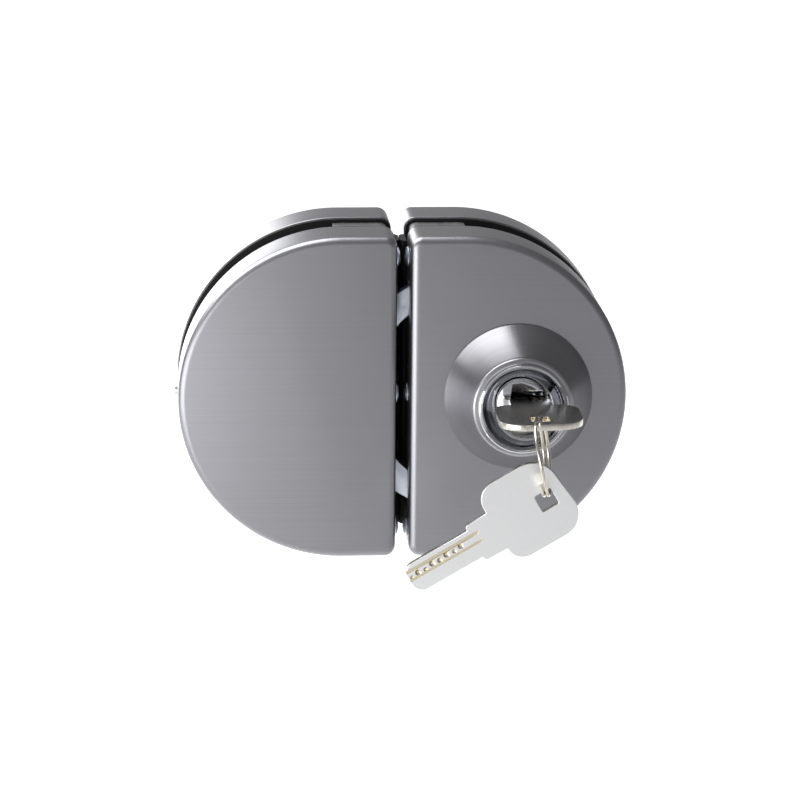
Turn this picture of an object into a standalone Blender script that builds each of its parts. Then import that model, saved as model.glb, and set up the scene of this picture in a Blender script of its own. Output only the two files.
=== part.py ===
"""Double-leaf glass door lock: a half-round lock case and a half-round strike case.

The cases clamp two sheets of glass whose edges meet at x = 0. The lock half lies at
+X, the strike half at -X, the outside of the door faces -Y and +Z is up. The origin is
the centre of the gap between the cases, in the middle plane of the glass. Two crescent
claws leave the lock case, cross the gap and hook behind a keeper in the strike case.
A quarter turn of the key drives a crank pin, a slide and both claws.
"""
import math

import bmesh
import bpy
from mathutils import Matrix, Vector

for old in list(bpy.data.objects):
    bpy.data.objects.remove(old, do_unlink=True)

# Sizes in metres. The cases:
GAP = 0.0045
RADIUS = 0.0555
STRAIGHT = 0.0180
CORNER = 0.0038
GLASS = 0.0120
PAD = 0.0020
FRONT_DEPTH = 0.0196
BACK_DEPTH = 0.0200
WALL = 0.0015
EDGE = 0.0025
PLATE = 0.0020
SEAT = 0.0003
SPACER_WIDTH = 0.0200
SPACER_DROP = 0.0015
SEAL_END = 0.0055
SEAL_LIP = 0.0010

# The claws, their pivots and the slide that turns them:
PIVOT_IN = 0.01375
PIVOT_Z = 0.0090
CLAW_ARC = 0.0269
CLAW_WIDTH = 0.0086
CLAW_THICK = FRONT_DEPTH * 0.204
CLAW_STAND = FRONT_DEPTH * 0.255
CLAW_TIP = math.radians(167.0)
CLAW_HEEL = math.radians(80.0)
CLAW_WEB = math.radians(115.0)
THROW = math.radians(60.0)
HUB_R = 0.0052
PIVOT_R = 0.00245
SHOULDER_R = 0.0039
DRIVE_PIN_R = 0.0015
DRIVE_PIN_Z = 0.0030
PIN_PLAY = 0.00035
RUN_PLAY = 0.0005
TAIL_R = 0.0084
PRONG = 0.0018
SLIDE_THICK = 0.0015
LID_THICK = 0.0015
LID_MARGIN = 0.0100
KEEPER_THICK = 0.0015
KEEPER_FOOT = 0.0085
KEEPER_CLEAR = 0.0026
KEEPER_SCREW_IN = 0.0060

# The lock cylinder, its escutcheon and the turn on the inner side:
CYL_X = 0.0388
CYL_Z = 0.0008
KEY_TURN = math.radians(90.0)
BODY_R = 0.0110
PLUG_R = 0.0085
HEAD_R = 0.0135
RIM_R = 0.0152
RIM_OUT = 0.0186
RIM_THICK = 0.0021
DISH_R = 0.0137
DISH_DEPTH = 0.0102
DISH_FLOOR_R = 0.0091
CONE_R = 0.0250
CONE_TOP_R = 0.0156
CONE_EDGE = 0.0008
CONE_HOLLOW = 0.0011
FLANGE_R = 0.0063
FLANGE_THICK = 0.0010
SPINDLE_R = 0.0025
SQUARE = 0.0034
NUT_WALL = 0.0025
NUT_FLATS = 2 * (BODY_R + NUT_WALL)
NUT_THICK = FRONT_DEPTH * 0.163
ROSE_R = 0.0150
ROSE_THICK = 0.0026
TURN_HUB_R = 0.0075
TURN_LENGTH = 0.0300
TURN_WIDTH = 0.0085
TURN_REACH = 0.0125

# The keys and the split ring:
KEY_THICK = 0.0021
KEYWAY_SHIFT = 0.0024
KEYWAY_RISE = 0.0008
BLADE = 0.0245
BLADE_WIDTH = 0.0104
NECK = 0.0083
NECK_WIDTH = 0.0136
BOW = 0.0271
BOW_WIDTH = 0.0280
BOW_SHIFT = 0.0011
EYE = 0.0060
EYE_SHIFT = 0.0008
EYE_FROM_END = 0.0080
KEY_ANGLE = math.radians(30.6)
RING_R = 0.0125
WIRE_R = 0.0006
RING_TURN = math.radians(10.5)
RING_LEAN = math.radians(7.8)
RING_OFFSET = -0.0003
RING_AHEAD = 0.0047

# Fasteners:
SIDE_SCREW_Z = RADIUS - 0.0085
SIDE_SCREW_Y = 0.0096
PAN_R = 0.0035
PAN_HIGH = 0.0012
SIDE_SHANK_R = 0.0015
SIDE_SHANK = 0.0055
BACK_SCREW_Z = RADIUS - 0.0155
APEX_HEAD_R = 0.0022
APEX_SHANK_R = 0.0012
APEX_PROUD = 0.0009
CLAMP_R = 0.0020
CLAMP_HEAD_R = 0.0035
CLAMP_HEAD = 0.0022
CLAMP_IN = 0.0100
CLAMP_Z = RADIUS - 0.0155
LID_SCREW_R = 0.0012
LID_HEAD_R = 0.0028
LUG = 0.0050

# Places that follow from the sizes above.
SLOT = GLASS / 2 + PAD
FACE = SLOT + FRONT_DEPTH
BACK_FACE = SLOT + BACK_DEPTH
PLATE_Y = SLOT + PLATE
INSIDE = GAP / 2 + WALL + SEAT
PIVOT_X = GAP / 2 + PIVOT_IN
CLAW_OUT = CLAW_ARC + CLAW_WIDTH / 2
CLAW_IN = CLAW_ARC - CLAW_WIDTH / 2
CLAW_BACK = PLATE_Y + CLAW_STAND
CLAW_FRONT = CLAW_BACK + CLAW_THICK
PIN_DROP = PIVOT_Z - DRIVE_PIN_Z
STROKE = 2 * PIN_DROP * math.tan(THROW / 2)
CRANK_R = STROKE / 2 / math.sin(KEY_TURN / 2)
SLIDE_BACK = PLATE_Y + SEAT
SLIDE_FRONT = SLIDE_BACK + SLIDE_THICK
FLANGE_BACK = SLIDE_FRONT + SEAT
FLANGE_FRONT = FLANGE_BACK + FLANGE_THICK
PLUG_BACK = FLANGE_FRONT + SEAT
LID_BACK = CLAW_FRONT + SEAT
RIM_FRONT = FACE + RIM_OUT
DISH_FLOOR = RIM_FRONT - DISH_DEPTH
SHOULDER = PLUG_BACK + 0.0001 + BLADE
PLUG_FRONT = SHOULDER - SEAT
EYE_U = NECK + BOW - EYE_FROM_END
TURN_BACK = BACK_FACE + SEAT + ROSE_THICK + 0.0020
KEY_X = CYL_X + KEYWAY_SHIFT
KEY_Z = CYL_Z + KEYWAY_RISE
RING_X = KEY_X + RING_OFFSET
STACK = WIRE_R + SEAT / 2


def metal(name, colour, rough, metallic=1.0):
    """A Principled material: colour, roughness and metallic value of one finish."""
    mat = bpy.data.materials.get(name)
    if mat is None:
        mat = bpy.data.materials.new(name)
        mat.use_nodes = True
        shader = mat.node_tree.nodes["Principled BSDF"]
        shader.inputs["Base Color"].default_value = (*colour, 1.0)
        shader.inputs["Roughness"].default_value = rough
        shader.inputs["Metallic"].default_value = metallic
        mat.diffuse_color = (*colour, 1.0)
    return mat


SATIN = metal("satin stainless steel", (0.33, 0.33, 0.35), 0.32)
CHROME = metal("polished chrome", (0.62, 0.63, 0.65), 0.06)
ZINC = metal("zinc-plated steel", (0.55, 0.57, 0.62), 0.30)
PLATE_STEEL = metal("plain steel plate", (0.36, 0.36, 0.37), 0.42)
SPACER_ALU = metal("mill-finish aluminium", (0.48, 0.48, 0.48), 0.45)
NICKEL = metal("nickel silver", (0.60, 0.59, 0.56), 0.28)
BRASS = metal("nickel-plated brass", (0.50, 0.48, 0.43), 0.25)
RUBBER = metal("black rubber", (0.012, 0.012, 0.012), 0.75, 0.0)


def add_object(name, bm, mat, location=(0, 0, 0), rotation=(0, 0, 0), smooth=True):
    """Turn a bmesh into a named object with outward faces and one material."""
    bmesh.ops.recalc_face_normals(bm, faces=bm.faces)
    if bm.calc_volume(signed=True) < 0:
        bmesh.ops.reverse_faces(bm, faces=bm.faces)
    mesh = bpy.data.meshes.new(name)
    bm.to_mesh(mesh)
    bm.free()
    if mat is not None:
        mesh.materials.append(mat)
    if smooth:
        mesh.shade_smooth()
        mesh.set_sharp_from_angle(angle=math.radians(32))
    obj = bpy.data.objects.new(name, mesh)
    obj.location = location
    obj.rotation_euler = rotation
    bpy.context.scene.collection.objects.link(obj)
    return obj


def loft(bm, rings, closed=False):
    """Bridge rings of equal count with quads; cap both ends unless the loop is closed."""
    loops = [[bm.verts.new(p) for p in ring] for ring in rings]
    count = len(loops[0])
    pairs = list(zip(loops, loops[1:]))
    if closed:
        pairs.append((loops[-1], loops[0]))
    for a, b in pairs:
        for i in range(count):
            j = (i + 1) % count
            bm.faces.new((a[i], a[j], b[j], b[i]))
    if not closed:
        bm.faces.new(loops[0])
        bm.faces.new(list(reversed(loops[-1])))


def arc(cx, cz, r, start, end, steps):
    """Points along an arc in a plan, both ends included."""
    angles = [start + (end - start) * i / steps for i in range(steps + 1)]
    return [(cx + r * math.cos(a), cz + r * math.sin(a)) for a in angles]


def flat(points, y):
    """Lift plan points (x, z) into the plane at y."""
    return [(x, y, z) for x, z in points]


def prism(name, points, y0, y1, mat, smooth=True):
    """A plate with the plan points as its outline, from y0 to y1."""
    bm = bmesh.new()
    loft(bm, [flat(points, y0), flat(points, y1)])
    return add_object(name, bm, mat, smooth=smooth)


def box(name, low, high, mat):
    """A rectangular block between two corners."""
    (x0, y0, z0), (x1, y1, z1) = low, high
    return prism(name, [(x0, z0), (x1, z0), (x1, z1), (x0, z1)], y0, y1, mat, False)


def turned(name, profile, mat, location, axis="Y", count=32, bored=False):
    """Turn a profile of (radius, distance) about an axis; bored ones close on themselves."""
    bm = bmesh.new()
    angles = [2 * math.pi * i / count for i in range(count)]
    rings = [[(r * math.cos(a), r * math.sin(a), s) for a in angles] for r, s in profile]
    loft(bm, rings, closed=bored)
    turns = {
        "Y": (-math.pi / 2, 0, 0),
        "-Y": (math.pi / 2, 0, 0),
        "X": (0, math.pi / 2, 0),
        "-X": (0, -math.pi / 2, 0),
    }
    return add_object(name, bm, mat, location, turns[axis])


def cutter(obj):
    """Mark an object as a cutting tool, which is not part of the product."""
    obj.hide_render = True
    obj.display_type = "WIRE"
    return obj


def drill(name, r, location, length, axis="Y", count=24):
    """A round cutter that starts at the location and runs along the axis."""
    return cutter(turned(name, [(r, 0.0), (r, length)], None, location, axis, count))


def combine(target, tool, operation="DIFFERENCE"):
    """Cut the tool from the target, or join it to the target."""
    mod = target.modifiers.new(tool.name, "BOOLEAN")
    mod.operation = operation
    mod.solver = "EXACT"
    mod.object = tool
    cutter(tool)
    return target


def half_outline(side, inset=0.0):
    """Plan of a case: straight meeting edge, two rounded corners and a half round."""
    r = max(CORNER - inset, 0.0004)
    edge = GAP / 2 + inset
    top = RADIUS - inset
    points = arc(edge + r, -top + r, r, math.pi, 1.5 * math.pi, 4)
    points += arc(GAP / 2 + STRAIGHT, 0.0, top, -math.pi / 2, math.pi / 2, 28)
    points += arc(edge + r, top - r, r, math.pi / 2, math.pi, 4)
    if side < 0:
        points = [(-x, z) for x, z in reversed(points)]
    return points


def mirrored(side, low, high):
    """Corners of a box given for the +X side, put on the wanted side."""
    if side > 0:
        return low, high
    return (-high[0], low[1], low[2]), (-low[0], high[1], high[2])


def cover(name, side, facing, depth):
    """A pressed cover: wall, filleted front edge and face, open towards the glass."""
    rings = []

    def ring(inset, y):
        rings.append(flat(half_outline(side, inset), facing * (SLOT + y)))

    inner_edge = EDGE - WALL
    steps = 3
    for i in range(steps + 1):
        a = math.pi / 2 * (1 - i / steps)
        ring(
            WALL + inner_edge * (1 - math.cos(a)),
            depth - WALL - inner_edge * (1 - math.sin(a)),
        )
    ring(WALL, 0.0)
    ring(0.0, 0.0)
    for i in range(steps + 1):
        a = math.pi / 2 * i / steps
        ring(EDGE * (1 - math.cos(a)), depth - EDGE * (1 - math.sin(a)))
    bm = bmesh.new()
    loft(bm, rings)
    return add_object(name, bm, SATIN)


def arc_height(r, x):
    """Height of a claw arc of radius r where it crosses the upright plane at x."""
    return PIVOT_Z + math.sqrt(max(r * r - (x - PIVOT_X) ** 2, 0.0))


def window_heights(x0, x1):
    """Lowest and highest point of the claw between two upright planes, with play."""
    low = min(arc_height(CLAW_IN, x0), arc_height(CLAW_IN, x1)) - RUN_PLAY
    high = max(arc_height(CLAW_OUT, x0), arc_height(CLAW_OUT, x1)) + RUN_PLAY
    return low, high


def claw_window(name, x0, x1, sign, reach=0.001):
    """Cutter for the opening that a claw passes through, above or below the middle."""
    low, high = window_heights(x0, x1)
    z = sorted((sign * low, sign * high))
    tool = box(
        name,
        (x0 - reach, -CLAW_FRONT - RUN_PLAY, z[0]),
        (x1 + reach, -CLAW_BACK + RUN_PLAY, z[1]),
        None,
    )
    return cutter(tool)


def side_screws(prefix, side, facing, heights, cover_obj, y):
    """Pan-head screws through the straight wall of a cover, with their holes."""
    axis = "X" if side > 0 else "-X"
    wall_x = side * GAP / 2
    labels = {0: "middle"}
    for z in heights:
        label = labels.get(z, "upper" if z > 0 else "lower")
        name = f"{prefix}_screw_{label}"
        head = [
            (PAN_R * 0.55, -SEAT - PAN_HIGH),
            (PAN_R * 0.86, -SEAT - PAN_HIGH * 0.78),
            (PAN_R, -SEAT - PAN_HIGH * 0.35),
            (PAN_R, -SEAT),
            (SIDE_SHANK_R, -SEAT),
            (SIDE_SHANK_R, SIDE_SHANK),
        ]
        turned(name, head, ZINC, (wall_x, facing * y, z), axis, 14)
        hole = drill(
            f"hole_{name}",
            SIDE_SHANK_R + SEAT,
            (wall_x - side * 0.001, facing * y, z),
            SIDE_SHANK + 0.0015,
            axis,
            12,
        )
        combine(cover_obj, hole)
        yield hole


def lug(side, facing, z, width, depth):
    """Block on a plate behind the straight wall, which takes a side screw."""
    low, high = mirrored(
        side,
        (INSIDE, 0.0, z - LUG / 2),
        (INSIDE + width, 0.0, z + LUG / 2),
    )
    y = sorted((facing * (PLATE_Y - PLATE / 2), facing * depth))
    return box("lug", (low[0], y[0], low[2]), (high[0], y[1], high[2]), None)


def clamp_tools(prefix, side):
    """Cutters for the three clamp screws, which run from the back plate to the front."""
    x = side * (GAP / 2 + CLAMP_IN)
    for label, z in (("upper", CLAMP_Z), ("middle", 0.0), ("lower", -CLAMP_Z)):
        tool = drill(
            f"clamp_hole_{prefix}_{label}",
            CLAMP_R + SEAT,
            (x, PLATE_Y + 0.001, z),
            2 * PLATE_Y + 0.002,
            "-Y",
            12,
        )
        yield label, z, x, tool


def case_half(prefix, side):
    """Covers, plates, gaskets, spacer and screws that both halves have."""
    front = cover(f"{prefix}_front_cover", side, -1, FRONT_DEPTH)
    back = cover(f"{prefix}_back_cover", side, 1, BACK_DEPTH)
    plan = half_outline(side, WALL + SEAT)
    pad_plan = half_outline(side, SEAT)
    base = prism(f"{prefix}_base_plate", plan, -PLATE_Y, -SLOT - SEAT / 2, PLATE_STEEL)
    rear = prism(f"{prefix}_back_plate", plan, SLOT + SEAT / 2, PLATE_Y, PLATE_STEEL)
    pads = []
    for label, facing in (("front", -1), ("back", 1)):
        y = sorted((facing * (SLOT - SEAT / 2), facing * GLASS / 2))
        pads.append(prism(f"{prefix}_{label}_gasket", pad_plan, y[0], y[1], RUBBER))
    top = RADIUS - SPACER_DROP
    low, high = mirrored(
        side,
        (GAP / 2 + SEAT, -GLASS / 2 + SEAT, -top),
        (GAP / 2 + SEAT + SPACER_WIDTH, GLASS / 2 - SEAT, top),
    )
    spacer = box(f"{prefix}_spacer", low, high, SPACER_ALU)
    round_off = prism("spacer_round", half_outline(side, SPACER_DROP), -GLASS, GLASS, None)
    combine(spacer, round_off, "INTERSECT")
    thick = GLASS / 2 - SEAT
    seal_plan = [
        (side * GAP / 2, -thick),
        (side * (SEAT / 2 + SEAL_LIP), -thick),
        (side * SEAT / 2, -thick + 2 * SEAL_LIP),
        (side * SEAT / 2, thick - 2 * SEAL_LIP),
        (side * (SEAT / 2 + SEAL_LIP), thick),
        (side * GAP / 2, thick),
    ]
    tall = RADIUS - SEAL_END
    bm = bmesh.new()
    loft(bm, [[(x, y, z) for x, y in seal_plan] for z in (-tall, tall)])
    add_object(f"{prefix}_edge_seal", bm, RUBBER, smooth=False)

    for label, z, x, tool in clamp_tools(prefix, side):
        for target in (base, rear, spacer, *pads):
            combine(target, tool)
        head = [
            (CLAMP_HEAD_R * 0.7, PLATE_Y + SEAT + CLAMP_HEAD),
            (CLAMP_HEAD_R, PLATE_Y + SEAT + CLAMP_HEAD * 0.6),
            (CLAMP_HEAD_R, PLATE_Y + SEAT),
            (CLAMP_R, PLATE_Y + SEAT),
            (CLAMP_R, -PLATE_Y + SEAT / 2),
        ]
        turned(f"{prefix}_clamp_screw_{label}", head, ZINC, (x, 0, z), "Y", 12)

    for z in (SIDE_SCREW_Z, 0.0, -SIDE_SCREW_Z):
        if side < 0 and z == 0.0:
            continue
        block = lug(side, -1, z, SIDE_SHANK - 0.0014, PLATE_Y + SIDE_SCREW_Y + 0.0010)
        combine(base, block, "UNION")
    for z in (BACK_SCREW_Z, -BACK_SCREW_Z):
        block = lug(side, 1, z, SIDE_SHANK - 0.0014, PLATE_Y + SIDE_SCREW_Y + 0.0010)
        combine(rear, block, "UNION")
    heights = (SIDE_SCREW_Z, 0, -SIDE_SCREW_Z)
    for hole in side_screws(f"{prefix}_side", side, -1, heights, front, SLOT + SIDE_SCREW_Y):
        combine(base, hole)
    heights = (BACK_SCREW_Z, -BACK_SCREW_Z)
    for hole in side_screws(f"{prefix}_rear", side, 1, heights, back, SLOT + SIDE_SCREW_Y):
        combine(rear, hole)
    return front, back, base, rear, pads, spacer


def apex_screw(prefix, side, front, base, proud):
    """Small screw through the rim at the outermost point, into a lug of the base plate."""
    apex = GAP / 2 + STRAIGHT + RADIUS
    y = -PLATE_Y - APEX_HEAD_R * 0.25
    low, high = mirrored(
        side,
        (apex - WALL - SEAT - 0.0050, y - APEX_HEAD_R - 0.0006, -LUG),
        (apex + 0.0010, -SLOT - PLATE / 2, LUG),
    )
    block = box("apex_lug", low, high, None)
    inner = half_outline(side, WALL + 2 * SEAT)
    combine(block, prism("apex_round", inner, -FACE, 0, None), "INTERSECT")
    combine(base, block, "UNION")
    axis = "-X" if side > 0 else "X"
    start = proud if proud > 0 else -SEAT
    profile = [
        (APEX_HEAD_R * 0.7, -start - 0.0004),
        (APEX_HEAD_R, -start + 0.0001),
        (APEX_HEAD_R, WALL * 0.45),
        (APEX_SHANK_R, WALL * 0.45),
        (APEX_SHANK_R, WALL + 0.0036),
    ]
    if proud <= 0:
        profile[0] = (APEX_HEAD_R, 0.00005)
        profile.pop(1)
    turned(f"{prefix}_apex_screw", profile, ZINC, (side * apex, y, 0), axis, 16)
    seat = turned(
        f"{prefix}_apex_hole",
        [
            (APEX_HEAD_R + SEAT, -0.001),
            (APEX_HEAD_R + SEAT, WALL * 0.45 + SEAT),
            (APEX_SHANK_R + SEAT, WALL * 0.45 + SEAT),
            (APEX_SHANK_R + SEAT, WALL + 0.0036 + SEAT),
        ],
        None,
        (side * apex, y, 0),
        axis,
        16,
    )
    combine(front, seat)
    combine(base, seat)


def claw_outline(sign):
    """Plan of a claw about its pivot: crescent, round tip, web, hub and forked tail."""
    tail = -math.pi / 2 + THROW / 2
    slot_half = DRIVE_PIN_R + PIN_PLAY
    prong_half = slot_half + PRONG
    points = arc(0, 0, CLAW_OUT, CLAW_HEEL, CLAW_TIP, 18)
    tip_x = CLAW_ARC * math.cos(CLAW_TIP)
    tip_z = CLAW_ARC * math.sin(CLAW_TIP)
    points += arc(tip_x, tip_z, CLAW_WIDTH / 2, CLAW_TIP, CLAW_TIP + math.pi, 8)[1:]
    points += arc(0, 0, CLAW_IN, CLAW_TIP, CLAW_WEB, 10)[1:]
    near = math.asin(prong_half / HUB_R)
    points += arc(0, 0, HUB_R, math.radians(160), 2 * math.pi + tail - near, 6)
    side_end = math.asin(prong_half / TAIL_R)
    side_slot = math.asin(slot_half / TAIL_R)
    points += arc(0, 0, TAIL_R, tail - side_end, tail - side_slot, 2)
    cx = PIN_DROP * math.cos(tail)
    cz = PIN_DROP * math.sin(tail)
    points += arc(cx, cz, slot_half, tail - math.pi / 2, tail - 1.5 * math.pi, 8)
    points += arc(0, 0, TAIL_R, tail + side_slot, tail + side_end, 2)
    points += arc(0, 0, HUB_R, tail + near, math.radians(30), 5)
    if sign < 0:
        points = [(x, -z) for x, z in reversed(points)]
    return points


def claw(name, sign):
    """One crescent claw, with its origin on its pivot."""
    bm = bmesh.new()
    plan = claw_outline(sign)
    loft(bm, [flat(plan, -CLAW_FRONT), flat(plan, -CLAW_BACK)])
    obj = add_object(name, bm, ZINC, (PIVOT_X, 0, sign * PIVOT_Z))
    bore = drill(
        f"bore_{name}",
        PIVOT_R + SEAT,
        (PIVOT_X, -CLAW_FRONT - 0.001, sign * PIVOT_Z),
        CLAW_THICK + 0.002,
    )
    return combine(obj, bore)


def mechanism(base):
    """Pivots, claws, slide with its guides, and the lid over them."""
    for label, sign in (("upper", 1), ("lower", -1)):
        claw(f"{label}_claw", sign)
        turned(
            f"claw_pivot_{label}",
            [
                (SHOULDER_R, -PLATE_Y - SEAT),
                (SHOULDER_R, -CLAW_BACK + SEAT),
                (PIVOT_R, -CLAW_BACK + SEAT),
                (PIVOT_R, -CLAW_FRONT),
                (LID_SCREW_R + SEAT, -CLAW_FRONT),
                (LID_SCREW_R + SEAT, -CLAW_FRONT + 0.0045),
            ],
            PLATE_STEEL,
            (PIVOT_X, 0, sign * PIVOT_Z),
            "Y",
            24,
        )
        turned(
            f"lid_screw_{label}",
            [
                (LID_HEAD_R * 0.6, -LID_BACK - LID_THICK - SEAT - 0.0014),
                (LID_HEAD_R, -LID_BACK - LID_THICK - SEAT - 0.0008),
                (LID_HEAD_R, -LID_BACK - LID_THICK - SEAT),
                (LID_SCREW_R, -LID_BACK - LID_THICK - SEAT),
                (LID_SCREW_R, -CLAW_FRONT + 0.0042),
            ],
            ZINC,
            (PIVOT_X, 0, sign * PIVOT_Z),
            "Y",
            16,
        )

    pin_x = PIVOT_X + STROKE / 2
    left = pin_x - DRIVE_PIN_R - 0.0013
    neck_z = DRIVE_PIN_Z + DRIVE_PIN_R + 0.0001
    yoke_x = CYL_X + STROKE / 2
    window = (CYL_X - SPINDLE_R - RUN_PLAY, CYL_X + SPINDLE_R + STROKE + RUN_PLAY)
    right = window[1] + 0.0024
    waist = window[0] - 0.0025
    yoke_low = CYL_Z - CRANK_R - DRIVE_PIN_R - PIN_PLAY
    tall = -yoke_low + 0.0018
    slide_plan = [
        (left, -neck_z),
        (waist - 0.0015, -neck_z),
        (waist, -tall),
        (right, -tall),
        (right, tall),
        (waist, tall),
        (waist - 0.0015, neck_z),
        (left, neck_z),
    ]
    slide = prism("drive_slide", slide_plan, -SLIDE_FRONT, -SLIDE_BACK, ZINC)
    window_z = SPINDLE_R + RUN_PLAY
    opening = box(
        "spindle_window",
        (window[0], -SLIDE_FRONT - 0.001, CYL_Z - window_z),
        (window[1], -SLIDE_BACK + 0.001, CYL_Z + window_z),
        None,
    )
    combine(slide, opening)
    slot = box(
        "yoke_slot",
        (yoke_x - DRIVE_PIN_R - PIN_PLAY, -SLIDE_FRONT - 0.001, yoke_low),
        (yoke_x + DRIVE_PIN_R + PIN_PLAY, -SLIDE_BACK + 0.001, CYL_Z),
        None,
    )
    combine(slide, slot)
    for sign in (1, -1):
        peg = turned(
            "drive_pin",
            [(DRIVE_PIN_R, -CLAW_FRONT + 0.0003), (DRIVE_PIN_R, -SLIDE_BACK - SLIDE_THICK / 2)],
            None,
            (pin_x, 0, sign * DRIVE_PIN_Z),
            "Y",
            20,
        )
        combine(slide, peg, "UNION")

    guide_x = pin_x + DRIVE_PIN_R + RUN_PLAY
    guide_end = waist - 0.0015 - STROKE - RUN_PLAY
    for label, sign in (("upper", 1), ("lower", -1)):
        foot = neck_z + SEAT
        plan = [
            (foot, -PLATE_Y - SEAT),
            (foot, -FLANGE_BACK),
            (foot - 0.0016, -FLANGE_BACK),
            (foot - 0.0016, -FLANGE_FRONT),
            (foot + 0.0034, -FLANGE_FRONT),
            (foot + 0.0034, -PLATE_Y - SEAT),
        ]
        bm = bmesh.new()
        loft(bm, [[(x, y, sign * z) for z, y in plan] for x in (guide_x, guide_end)])
        add_object(f"slide_guide_{label}", bm, BRASS, smooth=False)

    reach_x = CYL_X + BODY_R + 0.0040
    reach_z = PIVOT_Z + LID_MARGIN
    start_x = INSIDE + SIDE_SHANK - 0.0004
    r = 0.0055
    lid_plan = (
        arc(start_x + r, -reach_z + r, r, math.pi, 1.5 * math.pi, 5)
        + arc(reach_x - r, -reach_z + r, r, 1.5 * math.pi, 2 * math.pi, 5)
        + arc(reach_x - r, reach_z - r, r, 0, math.pi / 2, 5)
        + arc(start_x + r, reach_z - r, r, math.pi / 2, math.pi, 5)
    )
    lid = prism("case_lid", lid_plan, -LID_BACK - LID_THICK, -LID_BACK, PLATE_STEEL)
    body_hole = drill("lid_bore", BODY_R + SEAT, (CYL_X, -FACE, CYL_Z), FRONT_DEPTH, "Y", 28)
    combine(lid, body_hole)
    for sign in (1, -1):
        hole = drill(
            "lid_screw_hole",
            LID_SCREW_R + SEAT,
            (PIVOT_X, -LID_BACK - LID_THICK - 0.001, sign * PIVOT_Z),
            LID_THICK + 0.002,
            "Y",
            16,
        )
        combine(lid, hole)
    length = FACE + PLATE_Y + 0.002
    passage = drill("spindle_hole", SPINDLE_R + RUN_PLAY, (CYL_X, -FACE, CYL_Z), length, "Y", 24)
    combine(base, passage)
    return passage


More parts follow.
